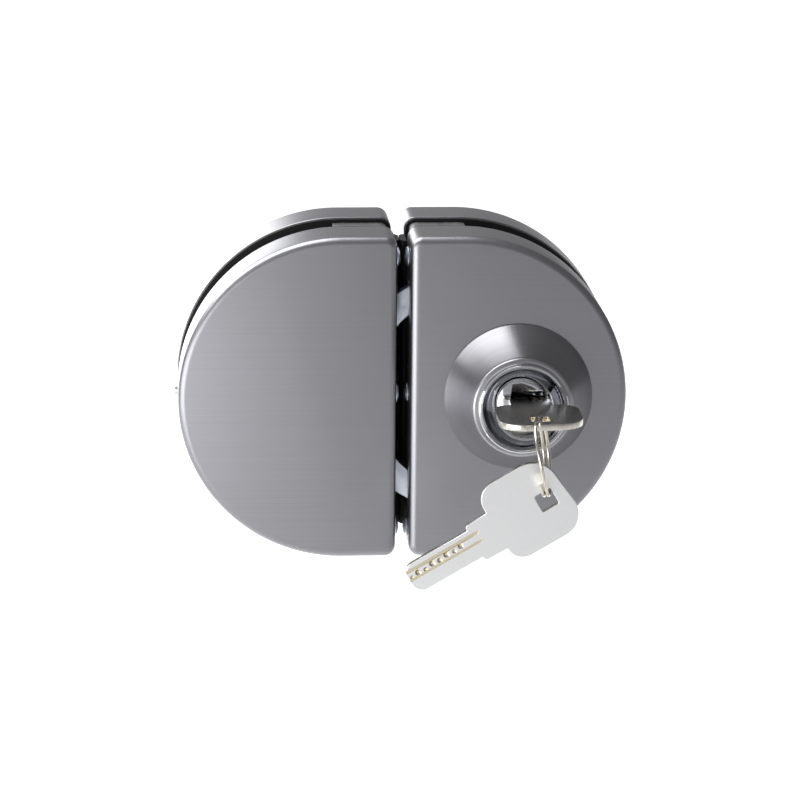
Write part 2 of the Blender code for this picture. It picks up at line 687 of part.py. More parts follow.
def cylinder_set(front, back, rear, pads, passage):
    """Cylinder body, plug, escutcheon, nut, tailpiece, and the turn with its rose."""
    at = (CYL_X, 0, CYL_Z)
    combine(front, drill("cover_bore", BODY_R + SEAT, (CYL_X, -FACE - 0.001, CYL_Z), 0.006, "Y", 32))
    front.modifiers.move(len(front.modifiers) - 1, 0)

    dish = []
    steps = 5
    for i in range(steps + 1):
        a = math.pi / 2 * i / steps
        r = DISH_FLOOR_R + (DISH_R - DISH_FLOOR_R) * math.cos(a) ** 1.2
        dish.append((r, -RIM_FRONT + 0.0006 + (DISH_DEPTH - 0.0006) * math.sin(a)))
    profile = [
        (BODY_R, -FLANGE_BACK - 0.0001),
        (BODY_R, -FACE - SEAT),
        (HEAD_R, -FACE - SEAT),
        (HEAD_R, -RIM_FRONT + RIM_THICK),
        (RIM_R, -RIM_FRONT + RIM_THICK),
        (RIM_R, -RIM_FRONT + 0.0004),
        (RIM_R - 0.0004, -RIM_FRONT),
        (DISH_R + 0.0005, -RIM_FRONT),
        *dish,
        (PLUG_R + SEAT, -DISH_FLOOR),
        (PLUG_R + SEAT, -FLANGE_BACK - 0.0001),
    ]
    turned("cylinder_body", profile, CHROME, at, "Y", 32, bored=True)

    cone = []
    steps = 6
    low = (CONE_R, -FACE - SEAT - CONE_EDGE)
    high = (CONE_TOP_R, -RIM_FRONT + RIM_THICK + SEAT + 0.0006)
    run = (high[0] - low[0], high[1] - low[1])
    size = math.hypot(*run)
    for i in range(steps + 1):
        t = i / steps
        bow = 4 * CONE_HOLLOW * t * (1 - t)
        cone.append(
            (
                low[0] + run[0] * t + bow * run[1] / size,
                low[1] + run[1] * t - bow * run[0] / size,
            )
        )
    profile = [
        (HEAD_R + SEAT, -FACE - SEAT),
        (CONE_R, -FACE - SEAT),
        *cone,
        (CONE_TOP_R - 0.0006, -RIM_FRONT + RIM_THICK + SEAT),
        (HEAD_R + SEAT, -RIM_FRONT + RIM_THICK + SEAT),
    ]
    turned("escutcheon", profile, SATIN, at, "Y", 40, bored=True)

    nut_r = NUT_FLATS / 2 / math.cos(math.pi / 6)
    inner = FACE - WALL - SEAT
    hexagon = [
        (CYL_X + nut_r * math.cos(a), CYL_Z + nut_r * math.sin(a))
        for a in (math.pi / 3 * i for i in range(6))
    ]
    nut = prism("cylinder_nut", hexagon, -inner, -inner + NUT_THICK, BRASS, False)
    combine(nut, drill("nut_bore", BODY_R + SEAT, (CYL_X, -FACE, CYL_Z), FACE, "Y", 28))

    plug = turned(
        "cylinder_plug",
        [(PLUG_R - 0.0004, -PLUG_FRONT), (PLUG_R, -PLUG_FRONT + 0.0004), (PLUG_R, -PLUG_BACK)],
        CHROME,
        at,
        "Y",
        32,
    )
    half_w = BLADE_WIDTH / 2 + SEAT
    half_t = KEY_THICK / 2 + SEAT
    keyway = box(
        "keyway",
        (KEY_X - half_w, -PLUG_FRONT - 0.001, KEY_Z - half_t),
        (KEY_X + half_w, -PLUG_BACK + 0.001, KEY_Z + half_t),
        None,
    )
    combine(plug, keyway)

    inner = BACK_FACE - WALL
    square_start = inner - 0.0060
    tail = turned(
        "tailpiece",
        [
            (FLANGE_R, -FLANGE_FRONT),
            (FLANGE_R, -FLANGE_BACK),
            (SPINDLE_R, -FLANGE_BACK),
            (SPINDLE_R, square_start),
        ],
        ZINC,
        at,
        "Y",
        28,
    )
    pin_angle = -math.pi / 4
    crank = turned(
        "crank_pin",
        [(DRIVE_PIN_R, -FLANGE_FRONT + FLANGE_THICK / 2), (DRIVE_PIN_R, -PLATE_Y - SEAT)],
        None,
        (CYL_X + CRANK_R * math.cos(pin_angle), 0, CYL_Z + CRANK_R * math.sin(pin_angle)),
        "Y",
        20,
    )
    combine(tail, crank, "UNION")
    bar_end = BACK_FACE + 0.0015
    bar = box(
        "square_end",
        (CYL_X - SQUARE / 2, square_start - 0.002, CYL_Z - SQUARE / 2),
        (CYL_X + SQUARE / 2, bar_end, CYL_Z + SQUARE / 2),
        None,
    )
    combine(tail, bar, "UNION")

    for target in (rear, *pads):
        combine(target, passage)
    combine(
        back,
        drill("turn_bore", TURN_HUB_R + SEAT, (CYL_X, BACK_FACE - 0.005, CYL_Z), 0.007, "Y", 28),
    )
    turned(
        "back_rose",
        [
            (TURN_HUB_R + SEAT, BACK_FACE + SEAT),
            (ROSE_R, BACK_FACE + SEAT),
            (ROSE_R, BACK_FACE + SEAT + ROSE_THICK * 0.55),
            (ROSE_R - 0.0016, BACK_FACE + SEAT + ROSE_THICK),
            (TURN_HUB_R + SEAT, BACK_FACE + SEAT + ROSE_THICK),
        ],
        SATIN,
        at,
        "Y",
        36,
        bored=True,
    )
    collar = TURN_HUB_R + 0.0024
    turn = turned(
        "thumb_turn",
        [
            (collar, inner - SEAT - 0.0014),
            (collar, inner - SEAT),
            (TURN_HUB_R, inner - SEAT),
            (TURN_HUB_R, TURN_BACK + 0.0012),
            (TURN_HUB_R - 0.0012, TURN_BACK + 0.0024),
        ],
        SATIN,
        at,
        "Y",
        28,
    )
    r = TURN_WIDTH / 2
    span = TURN_LENGTH / 2 - r
    grip_plan = [
        (x, z)
        for x, z in arc(CYL_X + span, CYL_Z, r, -math.pi / 2, math.pi / 2, 6)
        + arc(CYL_X - span, CYL_Z, r, math.pi / 2, 1.5 * math.pi, 6)
    ]

    def grip_ring(y, shrink):
        return [
            (CYL_X + (x - CYL_X) * (1 - shrink / (TURN_LENGTH / 2)), y, CYL_Z + (z - CYL_Z) * (1 - shrink / r))
            for x, z in grip_plan
        ]

    bm = bmesh.new()
    end = TURN_BACK + TURN_REACH
    loft(
        bm,
        [
            grip_ring(TURN_BACK, 0.0008),
            grip_ring(TURN_BACK + 0.0010, 0.0),
            grip_ring(end - 0.0014, 0.0006),
            grip_ring(end - 0.0004, 0.0011),
            grip_ring(end, 0.0018),
        ],
    )
    grip = add_object("turn_grip", bm, None)
    combine(turn, grip, "UNION")
    hole = SQUARE / 2 + SEAT
    socket = box(
        "turn_socket",
        (CYL_X - hole, inner - 0.004, CYL_Z - hole),
        (CYL_X + hole, bar_end + SEAT, CYL_Z + hole),
        None,
    )
    combine(turn, socket)


def round_corner(corner, before, after, r, steps=5):
    """Points of a fillet of radius r where two straight runs meet at the corner."""
    c = Vector(corner)
    a = (Vector(before) - c).normalized()
    b = (Vector(after) - c).normalized()
    half = a.angle(b) / 2
    centre = c + (a + b).normalized() * (r / math.sin(half))
    start = c + a * (r / math.tan(half)) - centre
    end = c + b * (r / math.tan(half)) - centre
    turn = start.angle_signed(end)
    points = []
    for i in range(steps + 1):
        p = centre + Matrix.Rotation(-turn * i / steps, 2) @ start
        points.append((p.x, p.y))
    return points


def key_outline():
    """Plan of a key, u along its axis from the shoulder to the bow, w across it."""
    half = BLADE_WIDTH / 2
    neck = NECK_WIDTH / 2
    end = NECK + BOW
    low = -BOW_SHIFT - BOW_WIDTH / 2
    high = -BOW_SHIFT + BOW_WIDTH / 2
    corners = [
        ((-BLADE, -half), 0.0034),
        ((0.0, -half), 0.0),
        ((0.0, -neck), 0.0012),
        ((NECK, -neck - 0.0004), 0.0),
        ((NECK + 0.0002, low), 0.0062),
        ((end - 0.0022, low), 0.0088),
        ((end + 0.0006, high), 0.0080),
        ((NECK + 0.0006, high), 0.0058),
        ((NECK, neck + 0.0001), 0.0),
        ((0.0, neck), 0.0012),
        ((0.0, half), 0.0),
        ((-BLADE, half), 0.0040),
    ]
    points = []
    for i, (corner, r) in enumerate(corners):
        if r == 0.0:
            points.append(corner)
            continue
        before = corners[i - 1][0]
        after = corners[(i + 1) % len(corners)][0]
        points += round_corner(corner, before, after, r)
    return points


def key(name, matrix, offset=(0.0, 0.0)):
    """A flat key in its own plane; offset moves its outline away from its origin."""
    bm = bmesh.new()
    half = KEY_THICK / 2
    plan = [(u - offset[0], w - offset[1]) for u, w in key_outline()]
    loft(bm, [[(u, w, t) for u, w in plan] for t in (-half, half)])
    obj = add_object(name, bm, NICKEL)
    obj.matrix_world = matrix
    cu = EYE_U - offset[0]
    cw = -EYE_SHIFT - offset[1]
    h = EYE / 2
    bm = bmesh.new()
    square = [(cu - h, cw - h), (cu + h, cw - h), (cu + h, cw + h), (cu - h, cw + h)]
    loft(bm, [[(u, w, t) for u, w in square] for t in (-KEY_THICK, KEY_THICK)])
    eye = cutter(add_object(f"eye_{name}", bm, None, smooth=False))
    eye.matrix_world = matrix
    return combine(obj, eye)


def axes(u, w, t, origin):
    """Matrix from three unit axes and an origin."""
    matrix = Matrix((u, w, t)).transposed().to_4x4()
    matrix.translation = Vector(origin)
    return matrix


def ring_and_keys():
    """Key in the cylinder, split ring through its eye, and the spare key on the ring."""
    key(
        "key_in_lock",
        axes((0, -1, 0), (-1, 0, 0), (0, 0, -1), (KEY_X, -SHOULDER, KEY_Z)),
    )
    eye_front = SHOULDER + EYE_U + EYE / 2
    centre_y = -(eye_front + RING_AHEAD)
    bow_top = KEY_Z + KEY_THICK / 2
    inner = RING_R - WIRE_R
    half_chord = (eye_front + centre_y) / math.cos(RING_TURN)
    centre_drop = math.sqrt(inner ** 2 - half_chord ** 2) - SEAT
    centre_z = bow_top - centre_drop
    hinge = Vector((RING_X, centre_y, KEY_Z))
    along = Vector((math.sin(RING_TURN), math.cos(RING_TURN), 0))
    down = Vector((math.sin(RING_LEAN), 0, -math.cos(RING_LEAN)))
    normal = along.cross(down).normalized()
    down = normal.cross(along).normalized()
    centre = hinge + down * ((KEY_Z - centre_z) / -down.z)

    curve = bpy.data.curves.new("key_ring", "CURVE")
    curve.dimensions = "3D"
    curve.bevel_depth = WIRE_R
    curve.bevel_resolution = 2
    curve.use_fill_caps = True
    turns = (0.13, 1.87)
    count = 48
    spline = curve.splines.new("POLY")
    spline.points.add(count - 1)
    start = math.radians(200)
    for i in range(count):
        t = turns[0] + (turns[1] - turns[0]) * i / (count - 1)
        cross = min(max((t - 0.87) / 0.26, 0.0), 1.0)
        side = STACK * (2 * cross * cross * (3 - 2 * cross) - 1)
        a = start + 2 * math.pi * t
        p = centre + along * (RING_R * math.cos(a)) + down * (RING_R * math.sin(a)) + normal * side
        spline.points[i].co = (*(p - hinge), 1.0)
    curve.materials.append(NICKEL)
    ring = bpy.data.objects.new("key_ring", curve)
    ring.location = hinge
    bpy.context.scene.collection.objects.link(ring)

    low_point = centre + down * RING_R
    u = Vector((math.cos(KEY_ANGLE), 0, math.sin(KEY_ANGLE)))
    w = Vector((math.sin(KEY_ANGLE), 0, -math.cos(KEY_ANGLE)))
    hang = (EYE_U + 0.0012, -EYE_SHIFT - 0.0014)
    key("spare_key", axes(u, w, (0, 1, 0), low_point), hang)


def keeper(front, base):
    """Strike plate behind the wall of the strike case, with a foot on the base plate."""
    x0 = -INSIDE - KEEPER_THICK
    x1 = -INSIDE
    low, high = window_heights(x0, x1)
    tall = high + 0.0040
    plan = [
        (x1, -PLATE_Y - SEAT),
        (x1, -FACE + WALL + KEEPER_CLEAR),
        (x0, -FACE + WALL + KEEPER_CLEAR),
        (x0, -PLATE_Y - SEAT - KEEPER_THICK),
        (x0 - KEEPER_FOOT, -PLATE_Y - SEAT - KEEPER_THICK),
        (x0 - KEEPER_FOOT, -PLATE_Y - SEAT),
    ]
    bm = bmesh.new()
    loft(bm, [[(x, y, z) for x, y in plan] for z in (-tall, tall)])
    plate = add_object("strike_keeper", bm, PLATE_STEEL, smooth=False)
    combine(plate, bpy.data.objects["hole_strike_side_screw_middle"])
    for label, sign in (("upper", 1), ("lower", -1)):
        combine(front, claw_window(f"strike_wall_window_{label}", -GAP / 2 - WALL, -GAP / 2, sign))
        combine(plate, claw_window(f"keeper_window_{label}", x0, x1, sign, 0.0004))
        z = sign * (low - KEEPER_SCREW_IN)
        x = x0 - 0.0050
        tool = drill(
            "keeper_screw_hole",
            SIDE_SHANK_R + SEAT,
            (x, -PLATE_Y - SEAT - KEEPER_THICK - 0.001, z),
            PLATE + KEEPER_THICK + 0.003,
            "Y",
            16,
        )
        combine(plate, tool)
        combine(base, tool)
        top = -PLATE_Y - SEAT - KEEPER_THICK - SEAT
        turned(
            f"keeper_screw_{label}",
            [
                (PAN_R * 0.55, top - PAN_HIGH),
                (PAN_R * 0.9, top - PAN_HIGH * 0.7),
                (PAN_R * 0.9, top),
                (SIDE_SHANK_R, top),
                (SIDE_SHANK_R, -SLOT - SEAT),
            ],
            ZINC,
            (x, 0, z),
            "Y",
            16,
        )
    return plate


def build():
    """Put the whole lock together."""
    front, back, base, rear, pads, _ = case_half("lock", 1)
    for label, sign in (("upper", 1), ("lower", -1)):
        combine(front, claw_window(f"lock_wall_window_{label}", GAP / 2, GAP / 2 + WALL, sign))
    apex_screw("lock", 1, front, base, 0.0)
    passage = mechanism(base)
    cylinder_set(front, back, rear, pads, passage)

    front, back, base, rear, pads, _ = case_half("strike", -1)
    apex_screw("strike", -1, front, base, APEX_PROUD)
    keeper(front, base)
    ring_and_keys()


build()
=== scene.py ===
"""Glass door lock in satin stainless steel, dressed for rendering over its fixed frame."""
import math

import bmesh
import bpy
from mathutils import Matrix, Vector


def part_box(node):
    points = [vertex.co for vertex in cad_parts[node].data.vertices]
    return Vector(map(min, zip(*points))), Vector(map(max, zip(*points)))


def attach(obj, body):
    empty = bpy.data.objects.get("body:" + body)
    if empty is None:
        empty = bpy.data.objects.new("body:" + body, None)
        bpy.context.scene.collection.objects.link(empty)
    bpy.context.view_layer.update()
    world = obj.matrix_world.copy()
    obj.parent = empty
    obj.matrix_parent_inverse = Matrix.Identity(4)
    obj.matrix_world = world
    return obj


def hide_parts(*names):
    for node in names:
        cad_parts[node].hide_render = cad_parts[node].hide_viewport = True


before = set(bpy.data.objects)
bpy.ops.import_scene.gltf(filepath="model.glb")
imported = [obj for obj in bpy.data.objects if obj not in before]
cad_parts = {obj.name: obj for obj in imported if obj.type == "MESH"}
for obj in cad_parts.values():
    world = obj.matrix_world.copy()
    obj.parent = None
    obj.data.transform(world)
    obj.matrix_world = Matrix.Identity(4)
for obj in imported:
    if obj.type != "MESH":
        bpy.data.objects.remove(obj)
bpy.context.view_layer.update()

# Viewpoint of the photograph: from the left of the lock and 14 degrees above it, with a
# long lens, so that both top rims and the gap between the cases are seen.
camera = bpy.data.objects.new("photo_camera", bpy.data.cameras.new("photo_camera"))
bpy.context.scene.collection.objects.link(camera)
bpy.context.scene.camera = camera
sight = Vector((0.0697, 0.9677, -0.2423)).normalized()
level = Vector((0.9974, -0.0718, 0.0)).normalized()
upright = level.cross(sight).normalized()
roll = math.radians(-0.49)
across = level * math.cos(roll) - upright * math.sin(roll)
upward = level * math.sin(roll) + upright * math.cos(roll)
camera.matrix_world = Matrix.Translation((-0.0786, -1.0911, 0.2732)) @ Matrix(
    (across, upward, -sight)
).transposed().to_4x4()
camera.data.lens = 147.2
camera.data.sensor_width = 36.0
camera.data.shift_x = 0.00295
camera.data.shift_y = -0.0255
camera.data.clip_start = 0.01


# Covers: pressed from 1.5 mm stainless sheet into half-round cups with a soft 2.5 mm
# edge, then brushed along the face and round the wall before assembly. The windows for
# the claws and screws are punched in the straight wall.
def linear(code):
    """A finish's colour, from its sRGB hex code to the linear values a shader takes."""
    parts = [int(code[i : i + 2], 16) / 255 for i in (1, 3, 5)]
    return (*(c / 12.92 if c <= 0.04045 else ((c + 0.055) / 1.055) ** 2.4 for c in parts), 1.0)


def node(tree, kind, inputs=None, **settings):
    """Add one shader node with its settings; inputs are values or sockets to link."""
    made = tree.nodes.new(kind)
    for name, value in settings.items():
        setattr(made, name, value)
    for name, value in (inputs or {}).items():
        socket = made.inputs[name]
        if isinstance(value, bpy.types.NodeSocket):
            tree.links.new(value, socket)
        else:
            socket.default_value = value
    return made


def finish(name, colour, roughness, metallic=1.0):
    """A Principled material with one finish's plain values, ready for its surface nodes."""
    mat = bpy.data.materials.new(name)
    mat.use_nodes = True
    shader = mat.node_tree.nodes["Principled BSDF"]
    shader.inputs["Base Color"].default_value = linear(colour)
    shader.inputs["Roughness"].default_value = roughness
    shader.inputs["Metallic"].default_value = metallic
    return mat, mat.node_tree, shader


def speckle(tree, scale, detail, coarse=0.5, over=None):
    """Noise over the piece's own coordinates, or over a socket that is given."""
    if over is None:
        over = node(tree, "ShaderNodeTexCoord").outputs["Object"]
    inputs = {"Vector": over, "Scale": scale, "Detail": detail, "Roughness": coarse}
    return node(tree, "ShaderNodeTexNoise", inputs).outputs["Fac"]


def tint(tree, shader, fac, dark, light, span=(0.0, 1.0)):
    """Let a finish's colour run from dark to light with a factor."""
    tone = node(tree, "ShaderNodeValToRGB", {"Fac": fac})
    for element, position, colour in zip(tone.color_ramp.elements, span, (dark, light)):
        element.position = position
        element.color = linear(colour)
    tree.links.new(tone.outputs["Color"], shader.inputs["Base Color"])
    return tone.outputs["Color"]


def gloss(tree, shader, fac, rough, span=(0.0, 1.0)):
    """Let a finish's roughness run between two values with a factor."""
    values = (fac, *span, *rough)
    names = ("Value", "From Min", "From Max", "To Min", "To Max")
    ranged = node(tree, "ShaderNodeMapRange", dict(zip(names, values)))
    tree.links.new(ranged.outputs["Result"], shader.inputs["Roughness"])


def relief(tree, shader, fac, strength, depth):
    """Give a finish fine height from a factor."""
    bump = node(tree, "ShaderNodeBump", {"Height": fac, "Strength": strength, "Distance": depth})
    tree.links.new(bump.outputs["Normal"], shader.inputs["Normal"])


def brushed(tree, shader, stretch, light, dark, rough, depth):
    """Brush lines: noise drawn out along one axis, in the colour, the gloss and the height."""
    where = node(tree, "ShaderNodeTexCoord").outputs["Object"]
    spread = node(tree, "ShaderNodeMapping", {"Vector": where, "Scale": stretch})
    lines = speckle(tree, 1.0, 4.0, 0.62, spread.outputs[0])
    tint(tree, shader, lines, dark, light, (0.28, 0.72))
    gloss(tree, shader, lines, rough, (0.3, 0.7))
    relief(tree, shader, lines, 0.35, depth)


# Satin 304 stainless: grey and even, its gloss broken by fine lines that run level across
# the face.
satin_face, tree, shader = finish("satin stainless face", "#95959a", 0.36)
brushed(tree, shader, (9.0, 900.0, 3600.0), "#98989d", "#929297", (0.34, 0.38), 0.000002)
# The same steel on the wall, where the belt ran round the rim.
satin_wall, tree, shader = finish("satin stainless wall", "#939398", 0.36)
brushed(tree, shader, (14.0, 3600.0, 14.0), "#96969b", "#909095", (0.34, 0.38), 0.000002)


def arc(cx, cz, r, start, end, steps):
    """Points along an arc in a plan, both ends included."""
    return [
        (cx + r * math.cos(a), cz + r * math.sin(a))
        for a in (start + (end - start) * i / steps for i in range(steps + 1))
    ]


def bridge(bm, rings, closed=False, slots=None):
    """Join rings of equal count with quads, and cap both ends of an open run."""
    loops = [[bm.verts.new(p) for p in ring] for ring in rings]
    pairs = list(zip(loops, loops[1:])) + ([(loops[-1], loops[0])] if closed else [])
    count = len(loops[0])
    for number, (a, b) in enumerate(pairs):
        for i in range(count):
            j = (i + 1) % count
            face = bm.faces.new((a[i], a[j], b[j], b[i]))
            face.material_index = slots[number] if slots else 0
    if not closed:
        bm.faces.new(loops[0])
        bm.faces.new(list(reversed(loops[-1])))


def piece(name, bm, materials, smooth=35.0):
    """Make a bmesh into an object with outward faces, smooth below the given angle."""
    bmesh.ops.recalc_face_normals(bm, faces=bm.faces)
    if bm.calc_volume(signed=True) < 0:
        bmesh.ops.reverse_faces(bm, faces=bm.faces)
    mesh = bpy.data.meshes.new(name)
    bm.to_mesh(mesh)
    bm.free()
    for mat in materials:
        mesh.materials.append(mat)
    made = bpy.data.objects.new(name, mesh)
    bpy.context.scene.collection.objects.link(made)
    soften(made, smooth)
    return made


def settle(made):
    """Apply what shapes a piece, so that its mesh is the finished form."""
    graph = bpy.context.evaluated_depsgraph_get()
    mesh = bpy.data.meshes.new_from_object(made.evaluated_get(graph))
    made.modifiers.clear()
    made.data = mesh


def cut(made, tools, operation="DIFFERENCE"):
    """Cut tools out of a piece, or join them to it, and remove them."""
    for tool in tools:
        mod = made.modifiers.new("cut", "BOOLEAN")
        mod.operation = operation
        mod.solver = "EXACT"
        mod.object = tool
    settle(made)
    for tool in tools:
        bpy.data.objects.remove(tool, do_unlink=True)


def soften(made, angle):
    """Shade a piece smooth where its faces meet below an angle."""
    made.data.shade_smooth()
    made.data.set_sharp_from_angle(angle=math.radians(angle))


def break_edges(made, width, segments=2, angle=40.0):
    """Round the sharp edges of a piece a little, as tumbling or a file leaves them."""
    mod = made.modifiers.new("edge break", "BEVEL")
    mod.width = width
    mod.segments = segments
    mod.limit_method = "ANGLE"
    mod.angle_limit = math.radians(angle)
    mod.harden_normals = False
    settle(made)
    soften(made, 50)


def stand_for(made, body, slot, *nodes):
    """Put a piece on its body in place of CAD nodes."""
    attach(made, body)
    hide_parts(*nodes)


def dress(names, mat):
    """Give carried-over CAD nodes their finished material."""
    for name in names:
        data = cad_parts[name].data
        data.materials.clear()
        data.materials.append(mat)


def prism(points, y0, y1, name="tool", materials=()):
    """A plate from plan points (x, z) between two depths."""
    bm = bmesh.new()
    bridge(bm, [[(x, y, z) for x, z in points] for y in (y0, y1)])
    return piece(name, bm, materials)


def turned(profile, at, axis, count, name="tool", materials=(), bored=False):
    """Turn a profile of (radius, distance) about an axis through a point."""
    along = Vector(axis)
    side = along.orthogonal().normalized()
    other = along.cross(side)
    base = Vector(at)
    round_it = [2 * math.pi * i / count for i in range(count)]
    bm = bmesh.new()
    rings = [
        [base + along * s + (side * math.cos(a) + other * math.sin(a)) * r for a in round_it]
        for r, s in profile
    ]
    bridge(bm, rings, closed=bored)
    return piece(name, bm, materials)


straight_run = 0.018
plan_corner = 0.0038
edge_radius = 0.0025
sheet_thick = 0.0015
burr = 0.0002
overcut = 0.001
window_gap = 0.0005
side_hole_r, apex_head_r, apex_hole_r = 0.0018, 0.0025, 0.0015
cylinder_hole_r, spindle_hole_r = 0.0113, 0.0078
claw_pivot_x, claw_pivot_z = 0.016, 0.009
claw_mid, claw_half = 0.0269, 0.0043


def case_plan(side, low, high, inset):
    """Plan of a case between its lowest and highest corner, drawn in by the inset."""
    edge = low[0] if side > 0 else -high[0]
    top = high[2] - inset
    r = plan_corner - inset
    points = arc(edge + inset + r, -top + r, r, math.pi, 1.5 * math.pi, 10)
    points += arc(edge + straight_run, 0.0, top, -math.pi / 2, math.pi / 2, 120)
    points += arc(edge + inset + r, top - r, r, math.pi / 2, math.pi, 10)
    return points if side > 0 else [(-x, z) for x, z in reversed(points)]


def middle(name):
    """Centre of a CAD node's box."""
    low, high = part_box(name)
    return [(a + b) / 2 for a, b in zip(low, high)]


def crescent_height(r, x):
    """Height above the centre at which a claw's arc of radius r passes x."""
    return claw_pivot_z + math.sqrt(max(r * r - (x - claw_pivot_x) ** 2, 0.0))


for name, side, facing in (
    ("lock_front_cover", 1, -1),
    ("lock_back_cover", 1, 1),
    ("strike_front_cover", -1, -1),
    ("strike_back_cover", -1, 1),
):
    low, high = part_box(name)
    mouth, face_y = (high[1], low[1]) if facing < 0 else (low[1], high[1])
    depth = abs(face_y - mouth)
    rings = []
    inner_edge = edge_radius - sheet_thick
    for i in range(5):
        a = math.pi / 2 * (1 - i / 4)
        inset = sheet_thick + inner_edge * (1 - math.cos(a))
        rings.append((inset, depth - sheet_thick - inner_edge * (1 - math.sin(a))))
    rings += [(sheet_thick, burr), (sheet_thick - burr, 0.0), (burr, 0.0), (0.0, burr)]
    for i in range(9):
        a = math.pi / 2 * i / 8
        rings.append((edge_radius * (1 - math.cos(a)), depth - edge_radius * (1 - math.sin(a))))
    slots = [1 if i < len(rings) - 6 else 0 for i in range(len(rings) - 1)]
    bm = bmesh.new()
    loops = [
        [(x, mouth + facing * d, z) for x, z in case_plan(side, low, high, inset)]
        for inset, d in rings
    ]
    bridge(bm, loops, slots=slots)
    made = piece(f"{name}_sheet", bm, [satin_face, satin_wall], 30.0)
    tools = []
    if name == "lock_front_cover":
        x, y, z = middle("cylinder_plug")
        bore = [(cylinder_hole_r, 0.0), (cylinder_hole_r, 0.006)]
        tools.append(turned(bore, (x, face_y - 0.001, z), (0, 1, 0), 64))
    if name == "lock_back_cover":
        x, y, z = middle("cylinder_plug")
        bore = [(spindle_hole_r, 0.0), (spindle_hole_r, 0.007)]
        tools.append(turned(bore, (x, face_y - 0.005, z), (0, 1, 0), 64))
    wall = low[0] if side > 0 else high[0]
    screws = ("rear_screw_upper", "rear_screw_lower")
    if facing < 0:
        screws = ("side_screw_upper", "side_screw_middle", "side_screw_lower")
    half = name.split("_")[0]
    for screw in screws:
        x, y, z = middle(f"{half}_{screw}")
        hole = [(side_hole_r, 0.0), (side_hole_r, 0.004)]
        tools.append(turned(hole, (wall - side * overcut, y, z), (side, 0, 0), 24))
    if facing < 0:
        for claw, sign in (("upper_claw", 1), ("lower_claw", -1)):
            a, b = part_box(claw)
            x0, x1 = sorted((wall, wall + side * sheet_thick))
            z0 = min(crescent_height(claw_mid - claw_half, x) for x in (x0, x1)) - window_gap
            z1 = max(crescent_height(claw_mid + claw_half, x) for x in (x0, x1)) + window_gap
            z0, z1 = sorted((sign * z0, sign * z1))
            x0, x1 = x0 - overcut, x1 + overcut
            window = [(x0, z0), (x1, z0), (x1, z1), (x0, z1)]
            tools.append(prism(window, a[1] - window_gap, b[1] + window_gap))
        x, y, z = middle(f"{half}_apex_screw")
        apex = high[0] if side > 0 else low[0]
        hole = [(apex_head_r, 0.0), (apex_head_r, 0.0020)]
        hole += [(apex_hole_r, 0.0020), (apex_hole_r, 0.004)]
        tools.append(turned(hole, (apex + side * overcut, y, 0.0), (-side, 0, 0), 24))
    cut(made, tools)
    soften(made, 30)
    stand_for(made, "case", "satin_steel", name)


# Plates and lid: blanked from plain cold-rolled steel, dull grey with the faint mottle
# that rolling and oil leave. They close each cover behind the gasket.
rolled_steel, tree, shader = finish("cold-rolled steel plate", "#6d6d6f", 0.42)
mottle = speckle(tree, 220.0, 5.0, 0.6)
tint(tree, shader, mottle, "#5c5c5f", "#7d7d7f")
gloss(tree, shader, mottle, (0.34, 0.52))
dress(
    [
        "lock_base_plate",
        "lock_back_plate",
        "strike_base_plate",
        "strike_back_plate",
        "strike_keeper",
        "case_lid",
        "claw_pivot_upper",
        "claw_pivot_lower",
    ],
    rolled_steel,
)


# Gaskets: die-cut from 2 mm black EPDM sheet, which grips the glass. Its fine grain and
# powdery bloom keep it dull, with only a thin line of light along the cut edge.
gasket_rubber, tree, shader = finish("black EPDM rubber", "#0c0c0c", 0.7, 0.0)
tint(tree, shader, speckle(tree, 90.0, 4.0), "#090909", "#121213")
relief(tree, shader, speckle(tree, 2500.0, 3.0), 0.3, 0.00003)
rubber_parts = ("front_gasket", "back_gasket", "edge_seal")
dress([f"{half}_{part}" for half in ("lock", "strike") for part in rubber_parts], gasket_rubber)


# Spacers: sawn from aluminium bar, which carries the clamp load past the edge of the
# glass. Left as sawn and wiped, so it is matt with faint marks across.
sawn_aluminium, tree, shader = finish("mill-finish aluminium", "#8f8f8f", 0.45)
brushed(tree, shader, (900.0, 40.0, 900.0), "#989898", "#7f7f80", (0.40, 0.55), 0.00001)
dress(["lock_spacer", "strike_spacer"], sawn_aluminium)


# Escutcheon: turned from stainless bar as a hollow bell between the cover and the rim of
# the cylinder. The lathe and the polishing belt leave fine rings round its axis, which
# pull each lamp into streaks that run up the cone.
axis_x, _, axis_z = middle("cylinder_plug")
turned_satin, tree, shader = finish("turned satin stainless", "#a09fa3", 0.30)
shader.inputs["Anisotropic"].default_value = 0.5
shader.inputs["Anisotropic Rotation"].default_value = 0.25
where = node(tree, "ShaderNodeTexCoord").outputs["Object"]
axis_at = {0: where, 1: (axis_x, 0.0, axis_z)}
centred = node(tree, "ShaderNodeVectorMath", axis_at, operation="SUBTRACT")
split = node(tree, "ShaderNodeSeparateXYZ", {0: centred.outputs[0]}).outputs
spoke = node(tree, "ShaderNodeCombineXYZ", {"X": split["X"], "Z": split["Z"]}).outputs[0]
radius = node(tree, "ShaderNodeVectorMath", {0: spoke}, operation="LENGTH").outputs["Value"]
rings_at = node(tree, "ShaderNodeCombineXYZ", {"X": radius, "Y": split["Y"]})
marks = speckle(tree, 3200.0, 3.0, 0.6, rings_at.outputs[0])
tint(tree, shader, marks, "#98979b", "#a8a7ab", (0.3, 0.7))
relief(tree, shader, marks, 0.25, 0.000006)
both = {0: (0.0, 1.0, 0.0), 1: spoke}
around = node(tree, "ShaderNodeVectorMath", both, operation="CROSS_PRODUCT")
unit = node(tree, "ShaderNodeVectorMath", {0: around.outputs[0]}, operation="NORMALIZE")
tree.links.new(unit.outputs[0], shader.inputs["Tangent"])

